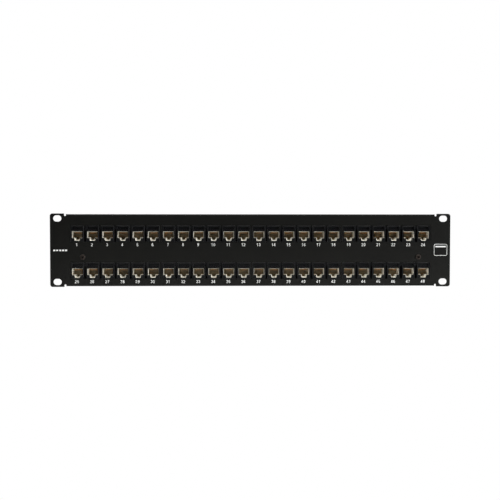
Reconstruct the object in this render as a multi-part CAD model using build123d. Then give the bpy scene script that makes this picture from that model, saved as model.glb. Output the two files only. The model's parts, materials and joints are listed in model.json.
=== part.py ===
from build123d import *
import os

# Rack patch panel, two rack units high, with two rows of sockets in modules of six.
# Millimetres. +X runs to the right along the panel, +Y to the rear, +Z up.
# The origin is the centre of the four rack slots, on the rear face of the ears.

# ---- Driving dimensions ----
rack_width = 482.6
panel_height = 88.1
steel = 1.5
slot_pitch_x = 465.1
slot_pitch_z = 76.2
slot_length = 10.0
slot_width = 7.5
ear_corner_radius = 3.0

channel_width = 444.0
channel_drop = 0.75
channel_depth = 12.0
bend_radius = 2.0
notch_width = 2.6
notch_depth = 3.1

rack_unit = 44.45
ports_per_module = 6
modules_per_row = 4
port_pitch = 18.13
module_pitch = 109.0

# Heights below are measured from the middle of the port's own row.
tower_width = 15.6
tower_top = 7.4
tower_bottom = -11.9
face_proud = 0.25
window_gap = 0.45
body_top = 9.5
body_bottom = -14.0
body_depth = 12.0
module_clearance = 0.3

mouth_width = 12.6
mouth_top = 0.3
shoulder_height = -7.6
notch_top_width = 6.9
notch_bottom_width = 6.4
mouth_bottom = -11.0
socket_width = 11.8
socket_top = -0.3
socket_floor = -7.2
latch_way_width = 5.2
latch_way_floor = -8.8
latch_tip_width = 2.8
latch_tip_floor = -10.0
liner_recess = 0.8
liner_lip = 0.1
lead_in = 3.0
liner_depth = 12.0
comb_thickness = 1.6

contact_width = 0.55
contact_thickness = 0.3
contact_pitch = 1.02
contacts_per_port = 8
contact_bend_y = 2.2
contact_bend_drop = 0.4
contact_reach = 7.2
contact_fall = 1.7

board_thickness = 1.6
board_top = 17.5
board_bottom = -19.5

idc_base = 3.0
idc_tooth = 9.0
idc_height = 10.0
idc_slot = 1.2
idc_per_port = 4
idc_upper_centre = 10.0
idc_lower_centre = -12.0

rivet_x = 202.5
rivet_z = -8.3
rivet_shank_radius = 1.6
rivet_bore_radius = 1.2
rivet_mouth_radius = 1.7
strap_thickness = 1.5
strap_height = 12.0
foot_height = 8.0
foot_inner_x = 196.0
bar_y = 72.0
bar_height = 16.0
screw_y = 62.0
screw_radius = 2.0

# ---- Worked-out places ----
front = -steel
face_y = front - face_proud
row_heights = {"upper": rack_unit / 2, "lower": -rack_unit / 2}
tower_group = (ports_per_module - 1) * port_pitch + tower_width
slot_gap = port_pitch - tower_width
board_y = body_depth
block_y = board_y + board_thickness
tooth_tip_y = block_y + idc_base + idc_tooth
idc_pitch = port_pitch / idc_per_port


def slab(x, y, z):
    """A box from its (low, high) limits along each axis."""
    size = [high - low for low, high in (x, y, z)]
    centre = [(high + low) / 2 for low, high in (x, y, z)]
    return Pos(*centre) * Box(*size)


def round_bar(radius, low, high, axis):
    """A cylinder along X or Y, centred on the other two axes."""
    turn = {"x": Rot(0, 90, 0), "y": Rot(-90, 0, 0)}[axis]
    shift = {"x": Pos(low, 0, 0), "y": Pos(0, low, 0)}[axis]
    column = Cylinder(radius, high - low, align=(Align.CENTER, Align.CENTER, Align.MIN))
    return shift * turn * column


def face_sketch(outline, y):
    """A closed outline of (x, z) points as a face that lies in the plane at y, facing the front."""
    return Plane(origin=(0, y, 0), x_dir=(1, 0, 0), z_dir=(0, -1, 0)) * make_face(Polyline(*outline, close=True))


def port_centres():
    """X of each port in a module, from the module's middle."""
    first = -(ports_per_module - 1) / 2
    return [(first + i) * port_pitch for i in range(ports_per_module)]


def module_centres():
    """(x, z) of each module's middle, in the order of the port numbers."""
    first = -(modules_per_row - 1) / 2
    columns = [(first + i) * module_pitch for i in range(modules_per_row)]
    return [(x, z) for z in row_heights.values() for x in columns]


def module_name(index):
    """The range of port numbers that a module carries, such as 07_12."""
    first = index * ports_per_module + 1
    return f"{first:02d}_{first + ports_per_module - 1:02d}"


# ---- Steel panel ----
def folded_channel():
    """The middle of the panel with its top and bottom edges folded to the rear."""
    edge = panel_height / 2 - channel_drop
    outside = slab((-channel_width / 2, channel_width / 2), (front, channel_depth), (-edge, edge))
    long_front_edges = outside.edges().filter_by(Axis.X).group_by(Axis.Y)[0]
    outside = fillet(long_front_edges, bend_radius)
    inside = slab(
        (-channel_width / 2, channel_width / 2),
        (0, channel_depth),
        (steel - edge, edge - steel),
    )
    inner_edges = inside.edges().filter_by(Axis.X).group_by(Axis.Y)[0]
    return outside - fillet(inner_edges, bend_radius - steel)


def ear_plate(side):
    """One flat rack ear, with its relief notches where the folds begin."""
    outer = side * rack_width / 2
    inner = side * (channel_width / 2 - 1)
    low, high = sorted((outer, inner))
    plate = slab((low, high), (front, 0), (-panel_height / 2, panel_height / 2))
    outer_edges = plate.edges().filter_by(Axis.Y).sort_by(Axis.X)
    corners = outer_edges[-2:] if side > 0 else outer_edges[:2]
    plate = fillet(corners, ear_corner_radius)
    notch_x = side * (channel_width / 2 + notch_width / 2)
    for end in (-1, 1):
        edge = end * panel_height / 2
        centre = edge - end * (notch_depth - notch_width / 2)
        reach = sorted((centre, edge + end))
        plate -= slab((notch_x - notch_width / 2, notch_x + notch_width / 2), (front, 0), reach)
        plate -= Pos(notch_x, 0, centre) * round_bar(notch_width / 2, front, 0, "y")
        strip = sorted((edge - end * channel_drop, edge + end))
        cover = sorted((inner - side, side * channel_width / 2))
        plate -= slab(cover, (front, 0), strip)
    return plate


def rack_slot():
    """The obround hole for a rack screw."""
    flat = slot_length - slot_width
    hole = slab((-flat / 2, flat / 2), (front - 1, 1), (-slot_width / 2, slot_width / 2))
    for end in (-1, 1):
        hole += Pos(end * flat / 2, 0, 0) * round_bar(slot_width / 2, front - 1, 1, "y")
    return hole


def make_front_panel():
    panel = folded_channel()
    for side in (-1, 1):
        panel += ear_plate(side)
    for side in (-1, 1):
        for end in (-1, 1):
            panel -= Pos(side * slot_pitch_x / 2, 0, end * slot_pitch_z / 2) * rack_slot()
        panel -= Pos(side * rivet_x, 0, rivet_z) * round_bar(rivet_shank_radius + 0.05, front - 1, 1, "y")
    half = tower_group / 2 + window_gap
    window = slab((-half, half), (front - 1, 1), (tower_bottom - 0.25, tower_top + 0.2))
    for x, z in module_centres():
        panel -= Pos(x, 0, z) * window
    return panel


# ---- Socket module ----
def mouth_outline(inset=0.0):
    """The socket's outline at the front, with the flared end of its latch notch. inset moves the walls in."""
    half = mouth_width / 2 - inset
    wide = notch_top_width / 2 - inset
    narrow = notch_bottom_width / 2 - inset
    shoulder = shoulder_height + inset
    bottom = mouth_bottom + inset
    right = [
        (half, mouth_top - inset),
        (half, shoulder),
        (wide, shoulder),
        (narrow, bottom + 0.8),
        (narrow - 0.6, bottom),
    ]
    return right + [(-x, z) for x, z in reversed(right)]


def socket_outline():
    """The socket's outline behind its lead-in: the plug's way, with a step for the latch and its tip."""
    half = socket_width / 2
    latch = latch_way_width / 2
    right = [
        (half, socket_top),
        (half, socket_floor),
        (latch, socket_floor),
        (latch - 0.5, latch_way_floor),
        (latch_tip_width / 2, latch_tip_floor),
    ]
    return right + [(-x, z) for x, z in reversed(right)]


def mouth_plug(outline, low, high):
    """The outline drawn out from y low to y high."""
    return extrude(face_sketch(outline, high), high - low)


def tower():
    """The black face round one socket, standing in the panel's window."""
    half = tower_width / 2
    block = slab((-half, half), (face_y, 0), (tower_bottom, tower_top))
    front_edges = block.edges().group_by(Axis.Y)[0]
    top_edge = front_edges.sort_by(Axis.Z)[-1:]
    block = fillet(top_edge, 0.9)
    rest = block.edges().group_by(Axis.Y)[0].filter_by(Axis.Z)
    return chamfer(rest, 0.35)


def icon_pocket():
    """The shallow recess for a clip-in icon above the socket, with a deeper groove along its top."""
    half = tower_width / 2 - 1.5
    shelf = slab((-half, half), (face_y - 1, face_y + 1.2), (1.1, 6.1))
    groove = slab((-half, half), (face_y - 1, face_y + 2.6), (3.4, 6.1))
    return shelf + groove


def make_jack_housing():
    """The black moulding that carries six sockets and clips in one window of the panel."""
    half = module_pitch / 2 - module_clearance / 2
    body = slab((-half, half), (0, body_depth), (body_bottom, body_top))
    centres = port_centres()
    rib_bottom = 2.8
    for x in centres:
        body += Pos(x, 0, 0) * tower()
    rib = slab((-slot_gap / 2, slot_gap / 2), (front + 1.0, 0), (rib_bottom, tower_top - 0.3))
    gap = slab((-slot_gap / 2, slot_gap / 2), (0, 6.5), (tower_bottom, rib_bottom))
    cuts = []
    for x in centres[:-1]:
        middle = x + port_pitch / 2
        body += Pos(middle, 0, 0) * rib
        cuts.append(Pos(middle, 0, 0) * gap)
    hole = mouth_plug(mouth_outline(), face_y - 1, body_depth + 1)
    for x in centres:
        cuts.append(Pos(x, 0, 0) * hole)
        cuts.append(Pos(x, 0, 0) * icon_pocket())
    return body - cuts


def liner():
    """The ivory insert of one socket: thin walls, open at both ends, that close in from its mouth."""
    liner_front = face_y + liner_recess
    wall = mouth_plug(mouth_outline(), liner_front, liner_depth)
    way = mouth_plug(socket_outline(), liner_front, liner_depth)
    mouth = loft([
        face_sketch(mouth_outline(liner_lip), liner_front),
        face_sketch(socket_outline(), liner_front + lead_in),
    ], ruled=True)
    return wall - way - mouth


def comb():
    """The grooved block that closes the back of one socket and keeps the eight contacts apart."""
    comb_front = liner_depth - comb_thickness
    block = mouth_plug(socket_outline(), comb_front, liner_depth)
    groove = slab((-0.3, 0.3), (comb_front - 1, comb_front + 0.7), (socket_floor + 1.5, socket_top - 0.5))
    return block - [Pos(x, 0, 0) * groove for x in contact_centres()]


def contact_centres():
    """X of each contact from the socket's middle."""
    first = -(contacts_per_port - 1) / 2
    return [(first + i) * contact_pitch for i in range(contacts_per_port)]


def contact():
    """The free length of one contact: from its bend behind the mouth, down to the rear, with a turned-up tip."""
    start = (0, contact_bend_y, socket_top - contact_bend_drop)
    low = (0, start[1] + contact_reach, start[2] - contact_fall)
    tip = (0, low[1] + 0.6, low[2] + 0.3)
    route = FilletPolyline(start, low, tip, radius=0.4)
    section = Plane(origin=start, x_dir=(1, 0, 0), z_dir=route % 0) * Rectangle(contact_width, contact_thickness)
    return sweep(section, path=route)


def make_circuit_board():
    half = module_pitch / 2 - module_clearance
    board = slab((-half, half), (board_y, block_y), (board_bottom, board_top))
    corners = board.edges().filter_by(Axis.Y)
    return fillet(corners, 1.0)


# ---- Punch-down terminals ----
def idc_centres():
    """X of each terminal slot in a module's row, from the module's middle."""
    first = -(idc_per_port - 1) / 2
    return [x + (first + i) * idc_pitch for x in port_centres() for i in range(idc_per_port)]


def idc_row():
    """One row of the terminal block: a base with a comb of pointed teeth. Every other tooth is taller."""
    slots = idc_centres()
    half = slots[-1] + idc_pitch / 2
    base_y = block_y + idc_base
    outline = [(-half, block_y)]
    edges = [-half] + [x + side * idc_slot / 2 for x in slots for side in (-1, 1)] + [half]
    for number in range(len(slots) + 1):
        left, right = edges[2 * number], edges[2 * number + 1]
        tip = tooth_tip_y if number % 2 == 0 else tooth_tip_y - 2.0
        lean = (right - left) * 0.3
        outline += [(left, base_y), (left, tip - 1.5), (left + lean, tip), (right - lean, tip)]
        outline += [(right, tip - 1.5), (right, base_y)]
    outline.append((half, block_y))
    block = extrude(make_face(Polyline(*outline, close=True)), idc_height / 2, both=True)
    pocket = slab((-1.25, 1.25), (block_y, tooth_tip_y - 3.5), (-0.3, 0.3))
    return block - [Pos(x, 0, 0) * pocket for x in slots]


def idc_clip():
    """One insulation-displacement clip: a flat fork that stands on the board inside its slot's pocket."""
    plate = slab((-1.15, 1.15), (block_y, tooth_tip_y - 4.0), (-0.2, 0.2))
    return plate - slab((-0.2, 0.2), (block_y + idc_base, tooth_tip_y), (-1, 1))


# ---- Rear cable support ----
def make_bracket(side):
    """An L-shaped strap: a short foot riveted behind the panel, and an arm to the rear."""
    outer = channel_width / 2 - 0.2
    foot = slab((foot_inner_x, outer), (0, strap_thickness), (-foot_height / 2, foot_height / 2))
    arm = slab((outer - strap_thickness, outer), (0, bar_y), (-strap_height / 2, strap_height / 2))
    arm = fillet(arm.edges().filter_by(Axis.X).group_by(Axis.Y)[-1], strap_height / 2 - 1)
    strap = foot + arm
    strap -= Pos(rivet_x, 0, 0) * round_bar(rivet_shank_radius + 0.05, -1, strap_thickness + 1, "y")
    strap -= Pos(0, screw_y, 0) * round_bar(screw_radius + 0.2, outer - 5, outer + 5, "x")
    strap = Pos(0, 0, rivet_z) * strap
    return strap if side > 0 else mirror(strap, about=Plane.YZ)


def make_rivet():
    """A blind rivet: a domed head with a stepped bore in front, and a swelled end behind the strap."""
    back = strap_thickness
    head_front = front - 1.1
    head = round_bar(3.25, head_front, front, "y")
    head = fillet(head.edges().group_by(Axis.Y)[0], 0.9)
    shank = round_bar(rivet_shank_radius, front, back, "y")
    tail = round_bar(2.5, back, back + 2.5, "y")
    tail = fillet(tail.edges().group_by(Axis.Y)[-1], 1.2)
    bore = round_bar(rivet_bore_radius, head_front - 1, back + 1.0, "y")
    bore += round_bar(rivet_mouth_radius, head_front - 1, head_front + 0.75, "y")
    return head + shank + tail - bore


def make_tie_bar():
    """A strip across the back with slots for cable ties, a stiffening lip and two end tabs."""
    inside = channel_width / 2 - 0.2 - strap_thickness
    z = (-bar_height / 2, bar_height / 2)
    bar = slab((-inside, inside), (bar_y - strap_thickness, bar_y), z)
    bar += slab((8 - inside, inside - 8), (bar_y - strap_thickness, bar_y + 4), (z[1] - strap_thickness, z[1]))
    for side in (-1, 1):
        reach = sorted((side * inside, side * (inside - strap_thickness)))
        tab = slab(reach, (screw_y - 6, bar_y), (-strap_height / 2, strap_height / 2))
        bar += tab
    slots = []
    for x, row in module_centres()[:modules_per_row]:
        for port_x in port_centres():
            slot = slab((-1.75, 1.75), (bar_y - 5, bar_y + 3), (-4.5, 4.5))
            slots.append(Pos(x + port_x, 0, -0.5) * fillet(slot.edges().filter_by(Axis.Y), 1.7))
    for side in (-1, 1):
        slots.append(Pos(side * inside, screw_y, 0) * round_bar(screw_radius + 0.2, -5, 5, "x"))
    return Pos(0, 0, rivet_z) * (bar - slots)


def make_screw(side):
    """A pan-head machine screw through the arm and the tie bar's tab."""
    outer = channel_width / 2 - 0.2
    head = round_bar(4.0, outer, outer + 2.2, "x")
    head = fillet(head.edges().group_by(Axis.X)[-1], 1.0)
    shank = round_bar(screw_radius, outer - 7.5, outer, "x")
    recess = slab((outer + 1.2, outer + 3), (-2.4, 2.4), (-0.5, 0.5))
    recess += slab((outer + 1.2, outer + 3), (-0.5, 0.5), (-2.4, 2.4))
    screw = Pos(0, screw_y, rivet_z) * (head + shank - recess)
    return screw if side > 0 else mirror(screw, about=Plane.YZ)


def make_nut(side):
    """The hexagon nut inside the tab."""
    outer = channel_width / 2 - 0.2 - 2 * strap_thickness
    hexagon = Plane(origin=(outer, 0, 0), z_dir=(-1, 0, 0)) * RegularPolygon(3.5, 6, major_radius=False)
    nut = extrude(hexagon, 3.2) - round_bar(screw_radius, outer - 5, outer + 5, "x")
    nut = Pos(0, screw_y, rivet_z) * nut
    return nut if side > 0 else mirror(nut, about=Plane.YZ)


# ---- Writing the nodes ----
def solids_of(shape):
    """The single solids of a shape, whether it is one or a group."""
    return list(shape.solids())


def write(name, shapes):
    """One STEP file for one node, with each of its pieces as a solid."""
    pieces = [solid for shape in shapes for solid in solids_of(shape)]
    for piece in pieces:
        piece.label = name
    export_step(Compound(label=name, children=pieces) if len(pieces) > 1 else pieces[0], f"parts/{name}.step")


def write_modules():
    """The parts of every module, made once and set at each module's place."""
    centres = port_centres()
    terminals = idc_centres()
    rows = (idc_upper_centre, idc_lower_centre)
    socket_liner = liner()
    spring = contact()
    row_block = idc_row()
    clip = idc_clip()
    parts = {
        "jack_housing": [make_jack_housing()],
        "jack_liners": [Pos(x, 0, 0) * socket_liner for x in centres],
        "contact_springs": [Pos(x + c, 0, 0) * spring for x in centres for c in contact_centres()],
        "circuit_board": [make_circuit_board()],
        "idc_block": [Pos(0, 0, row) * row_block for row in rows],
        "idc_clips": [Pos(x, 0, row) * clip for row in rows for x in terminals],
    }
    for index, (x, z) in enumerate(module_centres()):
        for name, shapes in parts.items():
            write(f"{name}_{module_name(index)}", [Pos(x, 0, z) * shape for shape in shapes])


def write_combs():
    """The contact combs at the back of the sockets, one node for each row."""
    block = comb()
    for row, height in row_heights.items():
        places = [(x, z) for x, z in module_centres() if z == height]
        combs = [Pos(x + port_x, 0, z) * block for x, z in places for port_x in port_centres()]
        write(f"contact_combs_{row}", combs)


def write_all():
    os.makedirs("parts", exist_ok=True)
    write("front_panel", [make_front_panel()])
    write_modules()
    write_combs()
    write("bracket_left", [make_bracket(-1)])
    write("bracket_right", [make_bracket(1)])
    write("bracket_rivets", [Pos(side * rivet_x, 0, rivet_z) * make_rivet() for side in (-1, 1)])
    write("tie_bar", [make_tie_bar()])
    write("tie_bar_screws", [make_screw(side) for side in (-1, 1)])
    write("tie_bar_nuts", [make_nut(side) for side in (-1, 1)])


write_all()
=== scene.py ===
import json
import math

import bmesh
import bpy
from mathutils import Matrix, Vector


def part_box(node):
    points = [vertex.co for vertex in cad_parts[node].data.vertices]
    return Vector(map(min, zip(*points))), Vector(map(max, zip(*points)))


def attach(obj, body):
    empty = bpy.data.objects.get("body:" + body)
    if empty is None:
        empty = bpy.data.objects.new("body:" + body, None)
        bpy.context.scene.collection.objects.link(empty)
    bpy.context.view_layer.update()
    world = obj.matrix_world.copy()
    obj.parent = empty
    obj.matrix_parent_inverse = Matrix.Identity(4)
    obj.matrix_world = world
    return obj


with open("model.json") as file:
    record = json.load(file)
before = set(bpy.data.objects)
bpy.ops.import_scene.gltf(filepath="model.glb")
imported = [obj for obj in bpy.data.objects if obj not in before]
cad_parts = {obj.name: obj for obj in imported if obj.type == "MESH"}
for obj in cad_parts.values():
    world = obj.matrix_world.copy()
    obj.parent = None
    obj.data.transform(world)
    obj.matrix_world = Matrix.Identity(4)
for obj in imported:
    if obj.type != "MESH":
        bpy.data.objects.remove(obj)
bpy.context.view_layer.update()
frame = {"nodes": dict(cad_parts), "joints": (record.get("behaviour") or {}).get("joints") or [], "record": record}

MM = 0.001
ROOT = "panel"
NODES = frame["nodes"]
JOINTS = frame["joints"]
MODULES = [name.replace("jack_housing_", "") for name in sorted(NODES) if name.startswith("jack_housing_")]
PORTS_PER_MODULE = 6
CONTACTS_PER_PORT = 8
PANEL_FRONT = -1.5 * MM
PORT_PITCH = 18.13 * MM
BEND_DROP = 0.7 * MM
CONTACT_PITCH = 1.02 * MM
PIN_ROW_DROP = 1.0 * MM
PIN_ROW_SHIFT = 1.3 * MM
BOARD_REAR = 13.6 * MM
SHORT_TOOTH_TIP = 23.6 * MM
INK_THICKNESS = 0.04 * MM
BADGE_MIDDLE = (229.6 * MM, 0.4 * MM)
CAMERA_PLACE = (-31.0 * MM, -1001.5 * MM, 34.9 * MM)
CAMERA_TURN_DEG = (88.015, -0.043, -1.674)
CAMERA_LENS = 59.78
FLOOR_HEIGHT = -1500 * MM
FLOOR_HALF = 6
FLOOR_TONE = 0.06
MIX_COLOUR_A, MIX_COLOUR_B, MIX_COLOUR_RESULT = 6, 7, 2


# ---------------------------------------------------------------- node helpers
def new_material(name):
    """An empty node material: (material, add-node function, link function, Principled shader)."""
    material = bpy.data.materials.new(name)
    material.use_nodes = True
    tree = material.node_tree
    shader = tree.nodes["Principled BSDF"]

    def add(kind, **values):
        node = tree.nodes.new(kind)
        for key, value in values.items():
            if key in node.inputs:
                node.inputs[key].default_value = value
            else:
                setattr(node, key, value)
        return node

    return material, add, tree.links.new, shader


def noise(add, link, scale, detail=4.0, roughness=0.55, stretch=(1, 1, 1)):
    """A noise texture in object space, in features per metre."""
    place = add("ShaderNodeTexCoord")
    mapping = add("ShaderNodeMapping")
    mapping.inputs["Scale"].default_value = stretch
    texture = add("ShaderNodeTexNoise", Scale=scale, Detail=detail, Roughness=roughness)
    link(place.outputs["Object"], mapping.inputs["Vector"])
    link(mapping.outputs["Vector"], texture.inputs["Vector"])
    return texture.outputs["Fac"]


def ramp(add, link, value, stops):
    """A colour ramp of (position, colour) stops."""
    node = add("ShaderNodeValToRGB")
    elements = node.color_ramp.elements
    while len(elements) < len(stops):
        elements.new(0.5)
    for element, (position, colour) in zip(elements, stops):
        element.position = position
        element.color = (*colour, 1)
    link(value, node.inputs["Fac"])
    return node.outputs["Color"]


def spread(add, link, value, low, high):
    """value from 0..1 mapped to low..high."""
    node = add("ShaderNodeMapRange")
    node.inputs["To Min"].default_value = low
    node.inputs["To Max"].default_value = high
    link(value, node.inputs["Value"])
    return node.outputs["Result"]


def bump(add, link, shader, height, strength, distance):
    """A bump of the given height value, distance deep, on the shader's normal."""
    node = add("ShaderNodeBump", Strength=strength, Distance=distance)
    link(height, node.inputs["Height"])
    link(node.outputs["Normal"], shader.inputs["Normal"])


# ---------------------------------------------------------------- materials
def powder_coat():
    """Black powder coat with a fine orange-peel texture."""
    material, add, link, shader = new_material("powder_coat_black")
    dark, light = (0.0022, 0.0022, 0.002), (0.0032, 0.0032, 0.0028)
    grain = noise(add, link, 2600, detail=3)
    cloud = noise(add, link, 14, detail=2)
    link(ramp(add, link, cloud, [(0.3, dark), (0.7, light)]), shader.inputs["Base Color"])
    link(spread(add, link, grain, 0.4, 0.5), shader.inputs["Roughness"])
    bump(add, link, shader, grain, strength=0.3, distance=0.06 * MM)
    shader.inputs["Specular IOR Level"].default_value = 0.2
    return material


def moulded_plastic(name, dark, light, rough, grain_scale=1400, strength=0.15, specular=0.5):
    """Injection-moulded plastic: a slight mottle and a fine spark-eroded grain."""
    material, add, link, shader = new_material(name)
    mottle = noise(add, link, 60, detail=3)
    grain = noise(add, link, grain_scale, detail=2)
    link(ramp(add, link, mottle, [(0.35, dark), (0.65, light)]), shader.inputs["Base Color"])
    link(spread(add, link, grain, rough - 0.06, rough + 0.08), shader.inputs["Roughness"])
    bump(add, link, shader, grain, strength, distance=0.05 * MM)
    shader.inputs["Specular IOR Level"].default_value = specular
    return material


def plated_metal(name, dark, light, rough, streak=(1, 1, 1), scale=900):
    """Metal plate with faint streaks and uneven gloss."""
    material, add, link, shader = new_material(name)
    streaks = noise(add, link, scale, detail=4, stretch=streak)
    link(ramp(add, link, streaks, [(0.3, dark), (0.7, light)]), shader.inputs["Base Color"])
    link(spread(add, link, streaks, rough - 0.08, rough + 0.1), shader.inputs["Roughness"])
    bump(add, link, shader, streaks, strength=0.1, distance=0.03 * MM)
    shader.inputs["Metallic"].default_value = 1.0
    return material


def solder_mask(name, dark, light):
    """Green solder mask, with the glass weave just showing."""
    material, add, link, shader = new_material(name)
    place = add("ShaderNodeTexCoord")
    both = add("ShaderNodeMath", operation="ADD")
    for i, direction in enumerate(("X", "Z")):
        weave = add("ShaderNodeTexWave", Scale=900, wave_type="BANDS", bands_direction=direction)
        link(place.outputs["Object"], weave.inputs["Vector"])
        link(weave.outputs["Fac"], both.inputs[i])
    cloud = noise(add, link, 90, detail=3)
    link(ramp(add, link, cloud, [(0.3, dark), (0.7, light)]), shader.inputs["Base Color"])
    link(spread(add, link, cloud, 0.2, 0.34), shader.inputs["Roughness"])
    bump(add, link, shader, both.outputs[0], strength=0.06, distance=0.03 * MM)
    return material


def ink(name, colour):
    """Screen-printed ink: nearly flat, with a soft ragged gloss."""
    material, add, link, shader = new_material(name)
    speck = noise(add, link, 1800, detail=3)
    worn = tuple(c * 0.82 for c in colour)
    link(ramp(add, link, speck, [(0.25, worn), (0.5, colour)]), shader.inputs["Base Color"])
    link(spread(add, link, speck, 0.45, 0.65), shader.inputs["Roughness"])
    return material


def make_materials():
    """Every finish by name: one for each material slot, then those of the printing and the solder."""
    made = {
        "panel_steel": powder_coat(),
        "black_plastic": moulded_plastic("black_plastic", (0.0035, 0.0038, 0.0048), (0.005, 0.0053, 0.0065),
                                         0.3, specular=0.25),
        "ivory_plastic": moulded_plastic("ivory_plastic", (0.76, 0.73, 0.65), (0.84, 0.82, 0.755), 0.34),
        # comb: painted shade, a dark brown in the comb's colour that stands in for the deep shade inside each
        # socket
        "comb_plastic": moulded_plastic("comb_plastic", (0.158, 0.123, 0.066), (0.23, 0.185, 0.108), 0.5),
        "contact_gold": plated_metal("contact_gold", (0.66, 0.36, 0.15), (0.8, 0.47, 0.22), 0.5),
        "board_laminate": solder_mask("board_green", (0.006, 0.045, 0.02), (0.01, 0.07, 0.03)),
        "terminal_plastic": moulded_plastic("terminal_plastic", (0.6, 0.59, 0.55), (0.68, 0.67, 0.63),
                                            0.42),
        "clip_metal": plated_metal("clip_tin", (0.62, 0.62, 0.6), (0.8, 0.8, 0.78), 0.22,
                                   streak=(1, 6, 1)),
        "rivet_metal": plated_metal("rivet_burnished", (0.03, 0.025, 0.023), (0.07, 0.059, 0.054), 0.5),
        "plated_steel": plated_metal("zinc_plate", (0.5, 0.5, 0.47), (0.66, 0.66, 0.62), 0.3, scale=300),
        "white_ink": ink("white_ink", (0.86, 0.87, 0.88)),
        "solder": plated_metal("solder", (0.55, 0.56, 0.58), (0.74, 0.75, 0.77), 0.26, scale=1500),
        "trace": solder_mask("trace_green", (0.012, 0.085, 0.036), (0.018, 0.11, 0.048)),
    }
    marks = {"blue": (0.03, 0.12, 0.5), "orange": (0.8, 0.2, 0.02),
             "green": (0.03, 0.3, 0.06), "brown": (0.15, 0.06, 0.025)}
    for name, colour in marks.items():
        made[f"mark_{name}"] = ink(f"mark_{name}", colour)
    return made


def finish_cad_nodes(materials):
    """Gives every CAD node the finish of its own slot in the record."""
    slots = {entry["node"]: entry["material_slot"] for entry in frame["record"]["subparts"]}
    for name, node in NODES.items():
        node.data.materials.clear()
        node.data.materials.append(materials[slots[name]])


# ---------------------------------------------------------------- mesh helpers
def object_from(name, bm, material, body=ROOT):
    """Makes the bmesh a piece of its own that rides on the body."""
    mesh = bpy.data.meshes.new(name)
    bm.to_mesh(mesh)
    bm.free()
    made = bpy.data.objects.new(name, mesh)
    bpy.context.scene.collection.objects.link(made)
    mesh.materials.append(material)
    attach(made, body)


def arc(x, z, rx, rz, start, end, steps=14):
    """Points along an ellipse's arc, between two angles in degrees."""
    angles = [math.radians(start + (end - start) * i / steps) for i in range(steps + 1)]
    return [(x + rx * math.cos(a), z + rz * math.sin(a)) for a in angles]


def digit_strokes(digit):
    """The centre lines of one plain digit, one unit tall and about 0.6 wide: lists of (x, z) points."""
    six = [arc(0, 0.30, 0.21, 0.225, 0, 360, 28),
           [(-0.21, 0.30)] + arc(0.02, 0.56, 0.23, 0.365, 180, 42)]
    return {
        "0": [arc(0, 0.5, 0.21, 0.425, 0, 360, 32)],
        "1": [[(0.05, 0), (0.05, 1)], [(0.05, 0.93), (-0.06, 0.80), (-0.22, 0.76)]],
        "2": [arc(0, 0.7, 0.215, 0.225, 172, -32) + [(-0.2, 0.12), (-0.2, 0.075), (0.26, 0.075)]],
        "3": [arc(0, 0.72, 0.2, 0.205, 160, -90), arc(0, 0.295, 0.225, 0.22, 90, -160)],
        "4": [[(0.1, 0), (0.1, 1)], [(0.1, 0.94), (-0.24, 0.33), (-0.24, 0.26), (0.28, 0.26)]],
        "5": [[(0.23, 0.925), (-0.14, 0.925), (-0.19, 0.47)] + arc(0, 0.31, 0.22, 0.235, 130, -155)],
        "6": six,
        "7": [[(-0.25, 0.925), (0.22, 0.925), (0.22, 0.86), (0.02, 0.5), (-0.07, 0)]],
        "8": [arc(0, 0.725, 0.185, 0.2, 0, 360, 28), arc(0, 0.29, 0.22, 0.215, 0, 360, 28)],
        "9": [[(-x, 1 - z) for x, z in stroke] for stroke in six],
    }[digit]


def ribbon(bm, points, width, y, thickness):
    """A flat band of even width along points, with mitred bends, standing on the face at y."""
    sharpest_mitre = 0.4
    closed = math.dist(points[0], points[-1]) < 1e-9
    if closed:
        points = points[:-1]
    count = len(points)
    left, right = [], []
    for i in range(count):
        before = points[i - 1] if closed or i > 0 else None
        after = points[(i + 1) % count] if closed or i < count - 1 else None
        ways = [Vector((b[0] - a[0], b[1] - a[1])).normalized()
                for a, b in ((before, points[i]), (points[i], after)) if a and b]
        along = sum(ways, Vector((0, 0))).normalized()
        side = Vector((-along.y, along.x))
        reach = width / 2 / max(sharpest_mitre, along.dot(ways[0]))
        left.append((points[i][0] + side.x * reach, points[i][1] + side.y * reach))
        right.append((points[i][0] - side.x * reach, points[i][1] - side.y * reach))
    rings = [[bm.verts.new((x, depth, z)) for x, z in line]
             for line, depth in ((left, y), (right, y), (left, y - thickness), (right, y - thickness))]
    low_left, low_right, top_left, top_right = rings
    for i in range(count if closed else count - 1):
        j = (i + 1) % count
        bm.faces.new((top_left[i], top_left[j], top_right[j], top_right[i]))
        bm.faces.new((low_left[i], low_left[j], top_left[j], top_left[i]))
        bm.faces.new((top_right[i], top_right[j], low_right[j], low_right[i]))
    if not closed:
        for i, flip in ((0, 1), (-1, -1)):
            bm.faces.new((top_left[i], top_right[i], low_right[i], low_left[i])[::flip])


def number_shape(bm, text, x, y, z, height, facing=1, weight=0.135, layer=0.012 * MM):
    """Digits centred on (x, z) on the face at y. facing is 1 for the front and -1 for the rear.

    Each stroke of a digit is a little thicker than the one before, so crossing strokes share no face.
    """
    step = 0.74 * height
    first = x - facing * step * (len(text) - 1) / 2
    for i, digit in enumerate(text):
        middle = first + facing * step * i
        for level, stroke in enumerate(digit_strokes(digit)):
            points = [(middle + facing * px * height, z + (pz - 0.5) * height) for px, pz in stroke]
            ribbon(bm, points, weight * height, y, facing * (layer + 0.3 * layer * level))


def rounded_outline(half_x, half_z, radius, steps=6):
    """The corner-rounded rectangle's points, anticlockwise, in the XZ plane."""
    points = []
    for quarter, (sx, sz) in enumerate(((1, 1), (-1, 1), (-1, -1), (1, -1))):
        for step in range(steps + 1):
            angle = math.radians(90 * quarter + 90 * step / steps)
            points.append((sx * (half_x - radius) + radius * math.cos(angle),
                           sz * (half_z - radius) + radius * math.sin(angle)))
    return points


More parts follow.
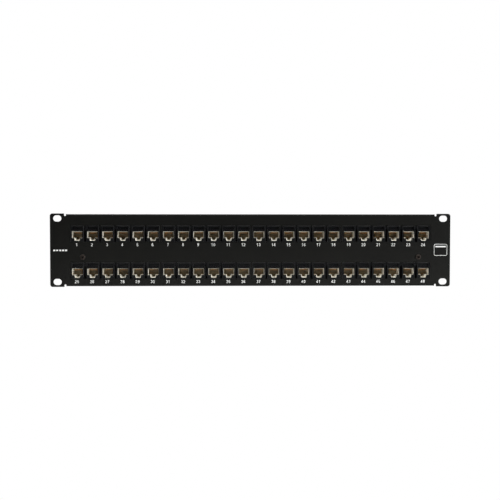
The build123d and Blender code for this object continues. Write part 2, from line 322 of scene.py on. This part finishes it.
def shifted(outline, x, z):
    """The outline moved by (x, z)."""
    return [(px + x, pz + z) for px, pz in outline]


def flat_ring(bm, outer, inner, y, thickness):
    """A thin raised band between two outlines of the same number of points."""
    back_outer, back_inner, front_outer, front_inner = (
        [bm.verts.new((x, depth, z)) for x, z in outline]
        for outline, depth in ((outer, y), (inner, y), (outer, y - thickness), (inner, y - thickness)))
    count = len(outer)
    for i in range(count):
        j = (i + 1) % count
        bm.faces.new((front_outer[i], front_outer[j], front_inner[j], front_inner[i]))
        bm.faces.new((back_outer[j], back_outer[i], back_inner[i], back_inner[j]))
        bm.faces.new((back_outer[i], back_outer[j], front_outer[j], front_outer[i]))
        bm.faces.new((back_inner[j], back_inner[i], front_inner[i], front_inner[j]))


def flat_plate(bm, outline, y, thickness):
    """A thin raised plate on the face at y, standing towards the front."""
    back = [bm.verts.new((x, y, z)) for x, z in outline]
    front = [bm.verts.new((x, y - thickness, z)) for x, z in outline]
    bm.faces.new(front)
    bm.faces.new(list(reversed(back)))
    for i in range(len(outline)):
        j = (i + 1) % len(outline)
        bm.faces.new((back[i], back[j], front[j], front[i]))


# ---------------------------------------------------------------- places
def module_middle(module):
    """X of a module's middle and Z of its row's middle, from the CAD."""
    low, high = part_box(f"circuit_board_{module}")
    joint = next(j for j in JOINTS if j["name"] == f"contact_flex_{module}")
    return (low.x + high.x) / 2, joint["pos_m"][2] + BEND_DROP


def port_places():
    """(number, x, z of the row's middle) of every port."""
    places = []
    for index, module in enumerate(MODULES):
        x, z = module_middle(module)
        for i in range(PORTS_PER_MODULE):
            number = index * PORTS_PER_MODULE + i + 1
            places.append((number, x + (i - (PORTS_PER_MODULE - 1) / 2) * PORT_PITCH, z))
    return places


# ---------------------------------------------------------------- printing
def port_numbers(materials):
    """The white port numbers under the sockets, one piece for each row."""
    height, left, drop = 3.6 * MM, 0.7 * MM, 15.6 * MM
    rows = {"upper": bmesh.new(), "lower": bmesh.new()}
    for number, x, z in port_places():
        row = rows["upper" if z > 0 else "lower"]
        number_shape(row, str(number), x - left, PANEL_FRONT, z - drop, height)
    for row, bm in rows.items():
        object_from(f"port_numbers_{row}", bm, materials["white_ink"])


def blank_badge(materials):
    """A blank rounded label outline with a plain bar, on the right ear."""
    x, z = BADGE_MIDDLE
    half_x, half_z, line = 8.1 * MM, 7.1 * MM, 0.5 * MM
    bar_half_x, bar_half_z, bar_rise = 6.3 * MM, 0.75 * MM, 3.9 * MM
    outer = rounded_outline(half_x, half_z, 2.0 * MM)
    inner = rounded_outline(half_x - line, half_z - line, 1.6 * MM)
    bar = rounded_outline(bar_half_x, bar_half_z, 0.3 * MM)
    bm = bmesh.new()
    flat_ring(bm, shifted(outer, x, z), shifted(inner, x, z), PANEL_FRONT, INK_THICKNESS)
    flat_plate(bm, shifted(bar, x, z + bar_rise), PANEL_FRONT, INK_THICKNESS)
    object_from("blank_badge", bm, materials["white_ink"])


def left_rule(materials):
    """A row of plain dashes on the left ear."""
    first, pitch, height = -236.2 * MM, 3.5 * MM, -0.2 * MM
    dash = rounded_outline(1.2 * MM, 0.9 * MM, 0.3 * MM)
    bm = bmesh.new()
    for i in range(5):
        flat_plate(bm, shifted(dash, first + pitch * i, height), PANEL_FRONT, INK_THICKNESS)
    object_from("left_rule", bm, materials["white_ink"])


# ---------------------------------------------------------------- rear of the boards
def solder_dome(bm, x, z, radius, height, sides=8):
    """A small solder fillet that rises from the rear of the board to a blunt pin."""
    profile = ((1.0, 0.0), (0.62, 0.35), (0.34, 0.8), (0.22, 1.0))
    rings = []
    for share, rise in profile:
        ring = []
        for i in range(sides):
            turn = 2 * math.pi * i / sides
            ring.append(bm.verts.new((x + radius * share * math.cos(turn), BOARD_REAR + height * rise,
                                      z + radius * share * math.sin(turn))))
        rings.append(ring)
    for low, high in zip(rings, rings[1:]):
        for i in range(sides):
            j = (i + 1) % sides
            bm.faces.new((low[i], high[i], high[j], low[j]))
    bm.faces.new(rings[-1])


def pin_places(x, z):
    """(x, z, row) of the eight pins of a port, in two staggered rows. row is 1 above and -1 below."""
    places = []
    for i in range(CONTACTS_PER_PORT):
        row = 1 if i % 2 else -1
        pin_x = x + (i - (CONTACTS_PER_PORT - 1) / 2) * CONTACT_PITCH
        places.append((pin_x, z - PIN_ROW_DROP + row * PIN_ROW_SHIFT, row))
    return places


def terminal_places(x):
    """X of the four terminal slots of a port, in one of its two rows."""
    count = CONTACTS_PER_PORT // 2
    return [x + (i - (count - 1) / 2) * PORT_PITCH / count for i in range(count)]


def solder_joints(materials):
    """The solder on the rear of the board, round every socket pin."""
    radius, height = 0.62 * MM, 0.75 * MM
    bm = bmesh.new()
    for _, x, z in port_places():
        for pin_x, pin_z, _ in pin_places(x, z):
            solder_dome(bm, pin_x, pin_z, radius, height)
    object_from("jack_solder_joints", bm, materials["solder"])


def board_traces(materials):
    """The tracks from each pin to its terminal row, just proud under the solder mask."""
    width, thickness = 0.4 * MM, 0.035 * MM
    bends = {1: 1.6 * MM, -1: -3.6 * MM}
    ends = {1: 5.4 * MM, -1: -7.4 * MM}
    bm = bmesh.new()
    for _, x, z in port_places():
        targets = {1: iter(terminal_places(x)), -1: iter(terminal_places(x))}
        for pin_x, pin_z, row in pin_places(x, z):
            end_x = next(targets[row])
            bend = z + bends[row]
            slope = row * abs(end_x - pin_x) * 0.5
            track = [(pin_x, pin_z), (pin_x, bend), (end_x, bend + slope), (end_x, z + ends[row])]
            ribbon(bm, track, width, BOARD_REAR, -thickness)
    object_from("board_traces", bm, materials["trace"])


def board_numbers(materials):
    """Small port numbers on the rear of the boards, read from behind."""
    height, rise = 1.7 * MM, 16.3 * MM
    bm = bmesh.new()
    for number, x, z in port_places():
        number_shape(bm, str(number), x, BOARD_REAR, z + rise, height, facing=-1, weight=0.14)
    object_from("board_numbers", bm, materials["white_ink"])


def pair_marks(materials):
    """A coloured mark on each short tooth of the terminal strips, one colour for each pair of wires."""
    upper, lower = 10.0 * MM, -12.0 * MM
    pairs = {"blue": (upper, 0), "orange": (upper, 1), "green": (lower, 0), "brown": (lower, 1)}
    outline = rounded_outline(0.6 * MM, 3.4 * MM, 0.3 * MM, 3)
    for colour, (row, side) in pairs.items():
        bm = bmesh.new()
        for _, x, z in port_places():
            slots = terminal_places(x)
            middle = (slots[2 * side] + slots[2 * side + 1]) / 2
            flat_plate(bm, shifted(outline, middle, z + row), SHORT_TOOTH_TIP, -0.06 * MM)
        object_from(f"pair_marks_{colour}", bm, materials[f"mark_{colour}"])


# ---------------------------------------------------------------- stage
def area_light(name, place, target, size, power, colour=(1, 1, 1)):
    """A rectangular lamp at place that shines at target. size is in metres and power in watts."""
    light = bpy.data.lights.new(name, "AREA")
    light.shape = "RECTANGLE"
    light.size, light.size_y = size
    light.energy = power
    light.color = colour
    holder = bpy.data.objects.new(name, light)
    bpy.context.scene.collection.objects.link(holder)
    holder.location = place
    holder.rotation_euler = (Vector(target) - Vector(place)).to_track_quat("-Z", "Y").to_euler()
    holder.visible_camera = False


def white_to_camera(tree, tone):
    """White where the camera sees it, and tone, a grey value or a colour socket, for all other rays."""
    rays = tree.nodes.new("ShaderNodeLightPath")
    pick = tree.nodes.new("ShaderNodeMix")
    pick.data_type = "RGBA"
    pick.inputs[MIX_COLOUR_B].default_value = (1, 1, 1, 1)
    if isinstance(tone, bpy.types.NodeSocket):
        tree.links.new(tone, pick.inputs[MIX_COLOUR_A])
    else:
        pick.inputs[MIX_COLOUR_A].default_value = (tone, tone, tone, 1)
    tree.links.new(rays.outputs["Is Camera Ray"], pick.inputs["Factor"])
    return pick.outputs[MIX_COLOUR_RESULT]


def studio_world():
    """White to the camera. To the object: bright above, dark at eye level, dim below."""
    world = bpy.data.worlds.new("studio")
    bpy.context.scene.world = world
    world.use_nodes = True
    tree = world.node_tree
    place = tree.nodes.new("ShaderNodeTexCoord")
    split = tree.nodes.new("ShaderNodeSeparateXYZ")
    height = tree.nodes.new("ShaderNodeMapRange")
    height.inputs["From Min"].default_value = -1
    tones = tree.nodes.new("ShaderNodeValToRGB")
    elements = tones.color_ramp.elements
    stops = ((0.0, 0.06), (0.45, 0.05), (0.495, 0.004), (0.6, 0.004), (1.0, 0.2))
    while len(elements) < len(stops):
        elements.new(0.5)
    for element, (position, tone) in zip(elements, stops):
        element.position = position
        element.color = (tone, tone, tone, 1)
    tree.links.new(place.outputs["Generated"], split.inputs[0])
    tree.links.new(split.outputs["Z"], height.inputs["Value"])
    tree.links.new(height.outputs["Result"], tones.inputs["Fac"])
    tree.links.new(white_to_camera(tree, tones.outputs["Color"]), tree.nodes["Background"].inputs["Color"])


def white_floor():
    """A plain white floor, well below the panel."""
    near, far = -FLOOR_HALF, FLOOR_HALF
    bm = bmesh.new()
    corners = [(x, y, FLOOR_HEIGHT) for x, y in ((near, near), (far, near), (far, far), (near, far))]
    bm.faces.new([bm.verts.new(corner) for corner in corners])
    mesh = bpy.data.meshes.new("floor")
    bm.to_mesh(mesh)
    bm.free()
    material = bpy.data.materials.new("white_floor")
    material.use_nodes = True
    tree = material.node_tree
    glow = tree.nodes.new("ShaderNodeEmission")
    tree.links.new(white_to_camera(tree, FLOOR_TONE), glow.inputs["Color"])
    tree.links.new(glow.outputs["Emission"], tree.nodes["Material Output"].inputs["Surface"])
    mesh.materials.append(material)
    floor = bpy.data.objects.new("floor", mesh)
    bpy.context.scene.collection.objects.link(floor)


def make_stage():
    """Soft studio light: most of it from above, and some back up from a pale table below."""
    middle = (0, 0, 0)
    area_light("key", (0.05, -0.45, 0.95), middle, size=(1.3, 0.2), power=9, colour=(0.97, 0.97, 0.92))
    area_light("upper_left", (-0.9, -1.1, 1.3), middle, size=(0.9, 0.9), power=1.2)
    area_light("table", (0.06, -0.5, -0.2), (0, 0, -0.02), size=(1.4, 0.05), power=1.7,
               colour=(0.965, 0.98, 0.93))
    area_light("near_table", (0, -0.065, -0.08), (0, -0.065, 0), size=(0.8, 0.08), power=0.2,
               colour=(0.965, 0.97, 0.9))
    area_light("right_fill", (1.5, -0.9, -0.1), middle, size=(0.4, 0.9), power=16)
    for name, side in (("left_edge", -1), ("right_edge", 1)):
        area_light(name, (side * 1.2, 0.05, 0.15), middle, size=(0.5, 0.5), power=5)
    area_light("rear_fill", (-0.6, 1.4, 1.1), middle, size=(1.4, 1.0), power=28)
    studio_world()
    white_floor()
    bpy.context.scene.view_settings.view_transform = "Standard"


def make_camera():
    """The photograph's view: a metre away, a little left of the middle, looking slightly down."""
    camera = bpy.data.cameras.new("camera")
    camera.lens = CAMERA_LENS
    camera.sensor_width = 36
    camera.clip_start = 0.01
    holder = bpy.data.objects.new("camera", camera)
    bpy.context.scene.collection.objects.link(holder)
    holder.location = CAMERA_PLACE
    holder.rotation_euler = [math.radians(angle) for angle in CAMERA_TURN_DEG]
    bpy.context.scene.camera = holder


# ---------------------------------------------------------------- all of it
materials = make_materials()
make_camera()
finish_cad_nodes(materials)
port_numbers(materials)
blank_badge(materials)
left_rule(materials)
solder_joints(materials)
board_traces(materials)
board_numbers(materials)
pair_marks(materials)
make_stage()
